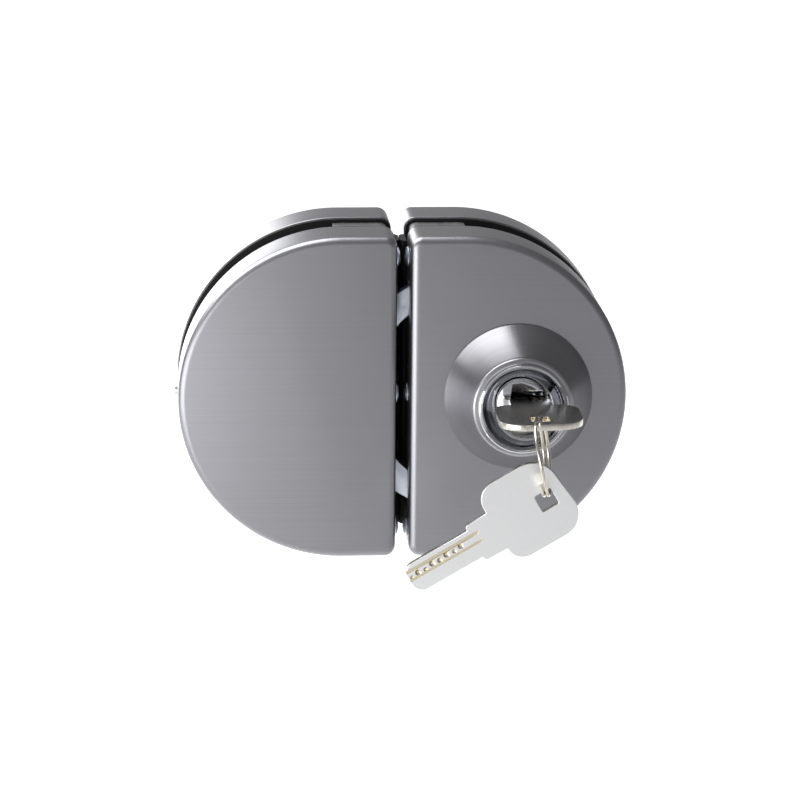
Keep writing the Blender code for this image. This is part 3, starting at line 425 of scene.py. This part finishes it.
low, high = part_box("escutcheon")
base_r = (high[0] - low[0]) / 2
foot_y, top_y = high[1], low[1]
bore_r, lip_r, lip_round, hollow, foot = 0.0138, 0.0170, 0.0010, 0.0006, 0.0005
start = (base_r, foot_y - foot)
stop = (lip_r, top_y + lip_round)
run = (stop[0] - start[0], stop[1] - start[1])
size = math.hypot(*run)
cone = []
for i in range(25):
    t = i / 24
    bow = 4 * hollow * t * (1 - t) / size
    cone.append((start[0] + run[0] * t + bow * run[1], start[1] + run[1] * t - bow * run[0]))
profile = [(bore_r, foot_y), (base_r - burr, foot_y), (base_r, foot_y - burr), *cone]
for i in range(1, 7):
    a = math.pi / 2 * i / 6
    profile.append((lip_r - lip_round * (1 - math.cos(a)), top_y + lip_round * (1 - math.sin(a))))
profile.append((bore_r, top_y))
on_axis, inward = (axis_x, 0, axis_z), (0, 1, 0)
bell = turned(profile, on_axis, inward, 128, "escutcheon_bell", [turned_satin], True)
stand_for(bell, "case", "satin_steel", "escutcheon")


# Cylinder: its body and plug are brass, chromed and polished to a mirror. The body's
# rim covers the top of the bell, and its mouth is dished so that fingers reach the bow.
mirror_chrome, tree, shader = finish("polished chrome", "#cfd0d4", 0.045)
smear = speckle(tree, 160.0, 4.0)
gloss(tree, shader, smear, (0.03, 0.08))
relief(tree, shader, smear, 0.12, 0.00005)
# The key guide round the keyway: black nickel, dull beside the chrome, with two pin ends.
guide_black, tree, shader = finish("black nickel guide", "#232427", 0.30)
gloss(tree, shader, speckle(tree, 900.0, 3.0), (0.22, 0.40))

low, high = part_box("cylinder_body")
rim_y, rear_y = low[1], high[1]
rim_r = (high[0] - low[0]) / 2
body_r, head_r, plug_r = 0.0110, 0.0135, 0.0085
cone_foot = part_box("escutcheon")[1][1]
mouth_r, floor_r, dish_depth, rim_thick = 0.0137, 0.0091, 0.0102, 0.0021
mouth_drop, plug_gap = 0.0006, 0.0003
profile = [
    (body_r, rear_y),
    (body_r, cone_foot),
    (head_r, cone_foot),
    (head_r, rim_y + rim_thick),
    (rim_r - burr, rim_y + rim_thick),
    (rim_r, rim_y + rim_thick - burr),
    (rim_r, rim_y + 0.0006),
    (rim_r - 0.0002, rim_y + 0.0002),
    (rim_r - 0.0006, rim_y),
    (rim_r - 0.0007, rim_y + 0.0005),
    (rim_r - 0.0010, rim_y + 0.0005),
    (rim_r - 0.0011, rim_y),
    (mouth_r + 0.0005, rim_y),
    (mouth_r + 0.0002, rim_y + 0.0001),
]
for i in range(17):
    a = math.pi / 2 * i / 16
    r = floor_r + (mouth_r - floor_r) * math.cos(a) ** 1.2
    profile.append((r, rim_y + mouth_drop + (dish_depth - mouth_drop) * math.sin(a)))
floor_y = rim_y + dish_depth
profile += [
    (plug_r + 0.0005, floor_y),
    (plug_r + plug_gap, floor_y + burr),
    (plug_r + plug_gap, rear_y),
]
body = turned(profile, on_axis, inward, 128, "cylinder_shell", [mirror_chrome], True)
stand_for(body, "case", "chrome", "cylinder_body")

low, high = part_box("cylinder_plug")
profile = [
    (plug_r - 0.0005, low[1]),
    (plug_r - 0.0001, low[1] + burr),
    (plug_r, low[1] + 0.0006),
    (plug_r, high[1]),
]
plug = turned(profile, on_axis, inward, 96, "cylinder_core", [mirror_chrome])
keyway_x, keyway_z = axis_x + 0.0024, axis_z + 0.0008
corner_signs = ((-1, -1), (1, -1), (1, 1), (-1, 1))
slot_w, slot_h = 0.0055, 0.00135
slot_plan = [(keyway_x + u * slot_w, keyway_z + w * slot_h) for u, w in corner_signs]
cut(plug, [prism(slot_plan, low[1] - overcut, high[1] + overcut)])
break_edges(plug, 0.00012, 2, 50)
guide_w, guide_h, sunk = 0.0058, 0.0034, 0.0005
guide_plan = [(keyway_x + u * guide_w, keyway_z + w * guide_h) for u, w in corner_signs]
recess = prism(guide_plan, low[1] - overcut, low[1] + sunk, materials=[guide_black])
plug.data.materials.append(guide_black)
cut(plug, [recess])
pin_profile = [(0.0001, 0.0), (0.00035, 0.0001), (0.0005, 0.0004), (0.0005, 0.0012)]
for x in (0.0019, 0.0044):
    pin_at = (keyway_x + x, low[1] + sunk - 0.0004, keyway_z + slot_h + 0.0009)
    cut(plug, [turned(pin_profile, pin_at, inward, 20)], "UNION")
stand_for(plug, "plug", "chrome", "cylinder_plug")


# Claws: cut from 4 mm steel and zinc-plated, then passivated, which gives the bluish
# white of new plating. They swing on their pivots across the gap to the keeper.
zinc_plate, tree, shader = finish("bright zinc plating", "#ccd1da", 0.30)
cloud = speckle(tree, 420.0, 5.0, 0.65)
tint(tree, shader, cloud, "#bfc5d0", "#d6dae2", (0.3, 0.7))
gloss(tree, shader, cloud, (0.20, 0.42))
relief(tree, shader, cloud, 0.2, 0.00002)

heel, tip, web, tail = (math.radians(a) for a in (80, 167, 115, -60))
hub_r, pivot_r, tail_r, fork_at, fork_half, prong = 0.0052, 0.00275, 0.0084, 0.006, 0.00185, 0.0018
outer, inner = claw_mid + claw_half, claw_mid - claw_half
hub_near = math.asin((fork_half + prong) / hub_r)
prong_out = math.asin((fork_half + prong) / tail_r)
prong_in = math.asin(fork_half / tail_r)
fork_x, fork_z = fork_at * math.cos(tail), fork_at * math.sin(tail)
tip_x, tip_z = claw_mid * math.cos(tip), claw_mid * math.sin(tip)
claw_plan = arc(0, 0, outer, heel, tip, 48)
claw_plan += arc(tip_x, tip_z, claw_half, tip, tip + math.pi, 20)[1:]
claw_plan += arc(0, 0, inner, tip, web, 30)[1:]
claw_plan += arc(0, 0, hub_r, math.radians(160), 2 * math.pi + tail - hub_near, 14)
claw_plan += arc(0, 0, tail_r, tail - prong_out, tail - prong_in, 4)
claw_plan += arc(fork_x, fork_z, fork_half, tail - math.pi / 2, tail - 1.5 * math.pi, 12)
claw_plan += arc(0, 0, tail_r, tail + prong_in, tail + prong_out, 4)
claw_plan += arc(0, 0, hub_r, tail + hub_near, math.radians(30), 12)
for name, sign in (("upper_claw", 1), ("lower_claw", -1)):
    low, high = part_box(name)
    plan = [(claw_pivot_x + x, sign * (claw_pivot_z + z)) for x, z in claw_plan]
    claw = prism(plan, low[1], high[1], f"{name}_plate", [zinc_plate])
    pivot = (claw_pivot_x, low[1] - overcut, sign * claw_pivot_z)
    cut(claw, [turned([(pivot_r, 0), (pivot_r, 0.006)], pivot, inward, 40)])
    break_edges(claw, 0.00035, 2, 40)
    stand_for(claw, "claw_up" if sign > 0 else "claw_low", "zinc", name)
dress(["drive_slide", "tailpiece"], zinc_plate)


# Screws: cold-headed steel, zinc-plated. The pan heads have a cross recess and hold the
# covers at the straight wall; the small ones at the apex have a hexagon socket.
head_tall, shank_r, shank_tip_r = 0.0012, 0.0015, 0.0012
cross_long, cross_wide, cross_deep = 0.0017, 0.0004, 0.0008
for half, side in (("lock", 1), ("strike", -1)):
    names = [f"{half}_side_screw_{p}" for p in ("upper", "middle", "lower")]
    names += [f"{half}_rear_screw_{p}" for p in ("upper", "lower")]
    for name in names:
        low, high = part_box(name)
        r = (high[1] - low[1]) / 2
        length = high[0] - low[0]
        _, y, z = middle(name)
        head_x = low[0] if side > 0 else high[0]
        dome = ((0.10, 0.0), (0.42, 0.00005), (0.70, 0.0002), (0.90, 0.0005), (1.0, 0.0009))
        profile = [(r * share, s) for share, s in dome]
        profile += [(r, head_tall), (shank_r, head_tall)]
        profile += [(shank_r, length - 0.0003), (shank_tip_r, length)]
        screw = turned(profile, (head_x, y, z), (side, 0, 0), 40, f"{name}_turned", [zinc_plate])
        tools = []
        x0, x1 = sorted((head_x - side * overcut, head_x + side * cross_deep))
        for w, h in ((cross_wide, cross_long), (cross_long, cross_wide)):
            bm = bmesh.new()
            bridge(bm, [[(x, y + u * w, z + v * h) for u, v in corner_signs] for x in (x0, x1)])
            tools.append(piece("tool", bm, []))
        cut(screw, tools)
        stand_for(screw, "case", "zinc", name)
    name = f"{half}_apex_screw"
    low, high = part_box(name)
    r = (high[2] - low[2]) / 2
    length = high[0] - low[0]
    _, y, z = middle(name)
    at = (high[0] if side > 0 else low[0], y, z)
    head = 0.0016 if side < 0 else 0.0006
    profile = [(r * 0.75, 0.0), (r * 0.95, 0.0002), (r, 0.0004), (r, head)]
    profile += [(shank_tip_r, head), (shank_tip_r, length)]
    screw = turned(profile, at, (-side, 0, 0), 40, f"{name}_turned", [zinc_plate])
    cut(screw, [turned([(0.0009, -0.001), (0.0009, 0.0010)], at, (-side, 0, 0), 6)])
    stand_for(screw, "case", "zinc", name)
dress(
    [f"{half}_clamp_screw_{p}" for half in ("lock", "strike") for p in ("upper", "middle", "lower")]
    + ["lid_screw_upper", "lid_screw_lower", "keeper_screw_upper", "keeper_screw_lower"],
    zinc_plate,
)


# Nut and slide guides: brass with a thin nickel coat, turned and milled, warm grey.
nickel_brass, tree, shader = finish("nickel-plated brass", "#9d9685", 0.26)
brushed(tree, shader, (900.0, 900.0, 60.0), "#a49d8c", "#8d8675", (0.22, 0.34), 0.000006)
dress(["cylinder_nut", "slide_guide_upper", "slide_guide_lower"], nickel_brass)


# Thumb turn and its rose, on the inner side of the door: turned and milled from the same
# stainless as the covers and finished with a satin belt.
low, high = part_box("back_rose")
rose_r = (high[0] - low[0]) / 2
rose_bore, rose_round, rose_wall = 0.0078, 0.0016, 0.0014
profile = [
    (rose_bore, low[1]),
    (rose_r - burr, low[1]),
    (rose_r, low[1] + burr),
    (rose_r, low[1] + rose_wall),
]
for i in range(1, 9):
    a = math.pi / 2 * i / 8
    rise = (high[1] - low[1] - rose_wall) * math.sin(a)
    profile.append((rose_r - rose_round + rose_round * math.cos(a), low[1] + rose_wall + rise))
profile += [(rose_bore + burr, high[1]), (rose_bore, high[1] - burr)]
rose = turned(profile, on_axis, inward, 96, "rose_ring", [turned_satin], True)
stand_for(rose, "case", "satin_steel", "back_rose")

satin_grip, tree, shader = finish("satin stainless grip", "#939297", 0.32)
brushed(tree, shader, (14.0, 2600.0, 2600.0), "#9c9ba0", "#88878c", (0.28, 0.38), 0.000008)
low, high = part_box("thumb_turn")
shaft_r, collar_r, collar, grip_w, grip_tall = 0.0075, 0.0099, 0.0014, 0.0085, 0.0125
inner_y, end_y = low[1], high[1]
turn_y = end_y - grip_tall
profile = [
    (collar_r - burr, inner_y),
    (collar_r, inner_y + burr),
    (collar_r, inner_y + collar),
    (shaft_r, inner_y + collar),
    (shaft_r, turn_y + 0.0008),
    (shaft_r - 0.0004, turn_y + 0.0018),
    (shaft_r - 0.0012, turn_y + 0.0024),
]
turn = turned(profile, on_axis, inward, 96, "thumb_turn_milled", [satin_grip])
grip_r = grip_w / 2
span = (high[0] - low[0]) / 2 - grip_r
crown = 0.0016
rings = [
    (turn_y, 0.0006),
    (turn_y + 0.0004, 0.0001),
    (turn_y + 0.0010, 0.0),
    (end_y - crown, 0.0006),
]
for i in range(1, 7):
    a = math.pi / 2 * i / 6
    rings.append((end_y - crown + crown * math.sin(a), 0.0006 + 0.0012 * (1 - math.cos(a))))
bm = bmesh.new()
loops = []
for y, shrink in rings:
    plan = arc(axis_x + span, axis_z, grip_r - shrink, -math.pi / 2, math.pi / 2, 24)
    plan += arc(axis_x - span, axis_z, grip_r - shrink, math.pi / 2, 1.5 * math.pi, 24)
    loops.append([(x, y, z) for x, z in plan])
bridge(bm, loops)
cut(turn, [piece("tool", bm, [satin_grip])], "UNION")
soften(turn, 40)
stand_for(turn, "plug", "satin_steel", "thumb_turn")


# Keys: blanked from 2.2 mm nickel silver, tumbled, then milled with two grooves and
# drilled with dimples of several depths. The cuts are bright; the flats stay satin.
nickel_silver, tree, shader = finish("nickel silver", "#f2f2f3", 0.33)
brushed(tree, shader, (2600.0, 500.0, 2600.0), "#f5f5f6", "#edeeef", (0.30, 0.37), 0.000002)
# The key in the lock: the same nickel silver, with painted shade on its flats, darker than the
# loose key for the dimmer light it sits in.
painted_shade_silver, tree, shader = finish("nickel silver, painted shade", "#9c9a98", 0.30)
brushed(tree, shader, (2600.0, 500.0, 2600.0), "#a5a3a1", "#8d8a86", (0.26, 0.36), 0.000003)
key_edge, tree, shader = finish("nickel silver sheared edge", "#d9d6cf", 0.22)
brushed(tree, shader, (300.0, 2400.0, 300.0), "#e2dfd8", "#c9c5bb", (0.16, 0.30), 0.00001)
key_cut, tree, shader = finish("nickel silver fresh cut", "#d8cdb8", 0.12)
chatter = speckle(tree, 2600.0, 3.0)
tint(tree, shader, chatter, "#d8c89e", "#ece8e0")
relief(tree, shader, chatter, 0.4, 0.00003)

key_thick, blade, blade_w, neck, neck_w = 0.0021, 0.0245, 0.0104, 0.0083, 0.0136
bow_len, bow_w, bow_shift = 0.0271, 0.0280, 0.0011
eye, eye_shift, eye_end, eye_round = 0.0060, 0.0008, 0.0080, 0.0005


def fillet(corner, before, after, r):
    """Points of a fillet of radius r where two runs of an outline meet."""
    steps = 14
    c = Vector(corner)
    a = (Vector(before) - c).normalized()
    b = (Vector(after) - c).normalized()
    half = a.angle(b) / 2
    centre = c + (a + b).normalized() * (r / math.sin(half))
    start = c + a * (r / math.tan(half)) - centre
    turn_by = start.angle_signed(c + b * (r / math.tan(half)) - centre)
    spun = [centre + Matrix.Rotation(-turn_by * i / steps, 2) @ start for i in range(steps + 1)]
    return [(p.x, p.y) for p in spun]


half_w, half_n, far = blade_w / 2, neck_w / 2, neck + bow_len
low_w, high_w = -bow_shift - bow_w / 2, -bow_shift + bow_w / 2
key_corners = [
    ((-blade, -half_w), 0.0034),
    ((0.0, -half_w), 0.0),
    ((0.0, -half_n), 0.0012),
    ((neck, -half_n - 0.0004), 0.0),
    ((neck + 0.0002, low_w), 0.0062),
    ((far - 0.0022, low_w), 0.0088),
    ((far + 0.0006, high_w), 0.0080),
    ((neck + 0.0006, high_w), 0.0058),
    ((neck, half_n + 0.0001), 0.0),
    ((0.0, half_n), 0.0012),
    ((0.0, half_w), 0.0),
    ((-blade, half_w), 0.0040),
]
key_plan = []
for i, (corner, r) in enumerate(key_corners):
    before, after = key_corners[i - 1][0], key_corners[(i + 1) % len(key_corners)][0]
    key_plan += fillet(corner, before, after, r) if r else [corner]


def flat_block(plan, t0, t1):
    """A block over a plan in the key's own plane, used to cut it."""
    bm = bmesh.new()
    bridge(bm, [[(u, w, t) for u, w in plan] for t in (t0, t1)])
    return piece("tool", bm, [key_cut])


# Grooves: both edges across the blade, and where their pointed end lies along the key.
groove_pair = ((-0.0037, -0.0025, 0.0039), (-0.0005, 0.0004, 0.0037))
groove_deep, groove_point = 0.00045, 0.0022
# Dimples: place along and across the blade, radius and depth.
pit_row = [
    (-0.0043, -0.0019, 0.00105, 0.0006),
    (-0.0070, -0.0014, 0.00085, 0.0004),
    (-0.0098, -0.0018, 0.00110, 0.0006),
    (-0.0126, -0.0012, 0.00095, 0.0005),
    (-0.0153, -0.0016, 0.00110, 0.0006),
    (-0.0181, -0.0009, 0.00080, 0.0004),
    (-0.0207, -0.0013, 0.00105, 0.0006),
    (-0.0232, -0.0008, 0.00075, 0.0004),
]


def key_blank(name, flats):
    """One key in its own plane: u from shoulder to bow, w across, t through."""
    t = key_thick / 2
    key = flat_block(key_plan, -t, t)
    key.name = name
    key.data.materials.clear()
    for mat in (flats, key_edge, key_cut):
        key.data.materials.append(mat)
    for face in key.data.polygons:
        face.material_index = 0 if abs(face.normal.z) > 0.9 else 1
    reach = eye / 2 - eye_round
    cu, cw = far - eye_end, -eye_shift
    eye_plan = []
    for quarter, (sx, sy) in enumerate(((1, 1), (-1, 1), (-1, -1), (1, -1))):
        start = quarter * math.pi / 2
        eye_plan += arc(cu + sx * reach, cw + sy * reach, eye_round, start, start + math.pi / 2, 4)
    cut(key, [flat_block(eye_plan, -0.003, 0.003)])
    break_edges(key, 0.00018, 2, 60)
    open_end = -blade - 0.002
    for up in (1, -1):
        side = -up
        grooves = []
        for w0, w1, end_u in groove_pair:
            turn_u = end_u - groove_point
            point = (end_u, (w0 + w1) / 2)
            plan = [(open_end, w0), (turn_u, w0), point, (turn_u, w1), (open_end, w1)]
            t0, t1 = sorted((side * (t - groove_deep), side * (t + 0.001)))
            grooves.append(flat_block([(u, w * up) for u, w in plan], t0, t1))
        cut(key, grooves)
        pits = []
        for u, w, r, deep in pit_row:
            base = (u, w * up, side * (t + burr))
            drill = [(r + burr, 0.0), (r * 0.35, deep + burr)]
            pits.append(turned(drill, base, (0, 0, -side), 20, materials=[key_cut]))
        cut(key, pits)
    soften(key, 28)
    for face in key.data.polygons:
        if abs(face.normal.z) > 0.999:
            face.use_smooth = False
    return key


def key_place(key, u, w, t, origin):
    """Move a key from its own plane to its place on the lock."""
    spot = Matrix((u, w, t)).transposed().to_4x4()
    spot.translation = Vector(origin)
    key.data.transform(spot)


in_place = (keyway_x, -0.0380, keyway_z)
# The key in the lock takes the darker copy: painted shade on its flats.
key = key_blank("inserted_key", painted_shade_silver)
key_place(key, (0, -1, 0), (-1, 0, 0), (0, 0, -1), in_place)
stand_for(key, "key", "nickel", "key_in_lock")

angle = math.radians(30.6)
u_dir = Vector((math.cos(angle), 0, math.sin(angle)))
w_dir = Vector((math.sin(angle), 0, -math.cos(angle)))
hang = Vector((0.043805, -0.073638, -0.020336))
hang_u, hang_w = far - eye_end + 0.0012, -eye_shift - 0.0014
in_place = hang - u_dir * hang_u - w_dir * hang_w
spare = key_blank("loose_key", nickel_silver)
key_place(spare, u_dir, w_dir, (0, 1, 0), in_place)
stand_for(spare, "spare", "nickel", "spare_key")


# Split ring: two turns of hardened steel wire, nickel-plated, wound flat against each
# other with one crossing, so that a key can be worked round onto it.
ring_steel, tree, shader = finish("nickel-plated spring wire", "#cbc7bd", 0.13)
tint(tree, shader, speckle(tree, 700.0, 3.0), "#b3aa98", "#dedbd4")
ring_r, wire_r = 0.0125, 0.00059
turn_a, lean = math.radians(10.5), math.radians(7.8)
along = Vector((math.sin(turn_a), math.cos(turn_a), 0))
down = Vector((math.sin(lean), 0, -math.cos(lean)))
normal = along.cross(down).normalized()
down = normal.cross(along).normalized()
centre = hang - down * ring_r
stack = wire_r + 0.00015
steps = 240
first_turn, turns, cross_from, cross_over = 0.13, 1.74, 0.87, 0.26
points = []
for i in range(steps + 1):
    t = first_turn + turns * i / steps
    cross = min(max((t - cross_from) / cross_over, 0.0), 1.0)
    offset = stack * (2 * cross * cross * (3 - 2 * cross) - 1)
    a = math.radians(200) + 2 * math.pi * t
    on_circle = along * (ring_r * math.cos(a)) + down * (ring_r * math.sin(a))
    points.append(centre + on_circle + normal * offset)
round_wire = [2 * math.pi * k / 16 for k in range(16)]
bm = bmesh.new()
loops = []
for i, p in enumerate(points):
    ahead = (points[min(i + 1, steps)] - points[max(i - 1, 0)]).normalized()
    out = (p - centre).normalized()
    out = (out - ahead * out.dot(ahead)).normalized()
    flank = ahead.cross(out)
    r = wire_r * (0.7 if i in (0, steps) else 1.0)
    loops.append([p + (out * math.cos(b) + flank * math.sin(b)) * r for b in round_wire])
bridge(bm, loops)
ring = piece("split_ring_wire", bm, [ring_steel], 60.0)
stand_for(ring, "ring", "nickel", "key_ring")


# Floor, backdrop and lamps: a white studio. A long softbox arches from overhead to the
# left and a low panel stands on the left. The floor is white paper far below, which also
# glows for the camera and for reflections; its colour and glow are painted greyer in front
# and to both sides as painted shade, so that the faces and flanks mirror a plain grey.
paper, tree, shader = finish("white paper", "#f4f4f4", 0.9, 0.0)
grain = node(tree, "ShaderNodeTexNoise", {"Scale": 40.0, "Detail": 3.0})
relief(tree, shader, grain.outputs["Fac"], 0.1, 0.0005)
ray = node(tree, "ShaderNodeLightPath").outputs
pair = {0: ray["Is Camera Ray"], 1: ray["Is Glossy Ray"]}
eye_or_metal = node(tree, "ShaderNodeMath", pair, operation="MAXIMUM")
pair = {0: eye_or_metal.outputs[0], 1: ray["Is Transmission Ray"]}
seen = node(tree, "ShaderNodeMath", pair, operation="MAXIMUM")
lift = node(tree, "ShaderNodeMath", {0: seen.outputs[0], 1: 0.75}, operation="MULTIPLY")
tree.links.new(lift.outputs[0], shader.inputs["Emission Strength"])
# Painted shade: the floor's colour and glow fall to grey in front and to both sides.
spot = node(tree, "ShaderNodeTexCoord").outputs["Object"]
split = node(tree, "ShaderNodeSeparateXYZ", {0: spot}).outputs
aside = node(tree, "ShaderNodeMath", {0: split["X"]}, operation="ABSOLUTE")
weigh = {0: aside.outputs[0], 1: -0.5, 2: split["Y"]}
away = node(tree, "ShaderNodeMath", weigh, operation="MULTIPLY_ADD")
ends = {"Value": away.outputs[0], "From Min": -0.35, "From Max": 0.25}
fade = node(tree, "ShaderNodeMapRange", ends, interpolation_type="SMOOTHSTEP")
shade = tint(tree, shader, fade.outputs["Result"], "#b8b8b8", "#f8f8f8")
tree.links.new(shade, shader.inputs["Emission Color"])
reach, drop = 14.0, -0.3
mesh = bpy.data.meshes.new("studio_floor")
mesh.from_pydata([(u * reach, v * reach, drop) for u, v in corner_signs], [], [(0, 1, 2, 3)])
mesh.materials.append(paper)
floor = bpy.data.objects.new("studio_floor", mesh)
bpy.context.scene.collection.objects.link(floor)

world = bpy.data.worlds.new("studio")
bpy.context.scene.world = world
world.use_nodes = True
tree = world.node_tree
tree.nodes.clear()
way = node(tree, "ShaderNodeTexCoord").outputs["Generated"]
split = node(tree, "ShaderNodeSeparateXYZ", {0: way}).outputs
ends = {"Value": split["X"], "From Min": -0.6, "From Max": 0.7, "To Min": 0.52, "To Max": 0.22}
shade = node(tree, "ShaderNodeMapRange", ends, interpolation_type="SMOOTHSTEP")
ray = node(tree, "ShaderNodeLightPath").outputs
pair = {0: shade.outputs["Result"], 1: ray["Is Camera Ray"]}
level = node(tree, "ShaderNodeMath", pair, operation="MAXIMUM").outputs[0]
white = {"Color": (1.0, 1.0, 1.0, 1), "Strength": level}
room = node(tree, "ShaderNodeBackground", white)
node(tree, "ShaderNodeOutputWorld", {"Surface": room.outputs[0]})
for name, at, size, power in (
    ("lamp_left_high", (-0.52, 0.15, 0.82), (0.90, 1.16), 16.4),
    ("lamp_left", (-0.75, -0.54, -0.08), (0.85, 0.42), 3.7),
    ("lamp_front_left", (-0.25, -0.50, -0.075), (0.31, 0.29), 0.56),
    ("lamp_back_left", (-0.66, 1.30, 0.10), (1.05, 0.75), 9.5),
):
    lamp = bpy.data.objects.new(name, bpy.data.lights.new(name, "AREA"))
    lamp.data.shape = "RECTANGLE"
    lamp.data.size, lamp.data.size_y = size
    lamp.data.energy = power
    lamp.location = at
    lamp.rotation_euler = (-Vector(at)).to_track_quat("-Z", "Y").to_euler()
    bpy.context.scene.collection.objects.link(lamp)
bpy.context.scene.view_settings.view_transform = "Standard"
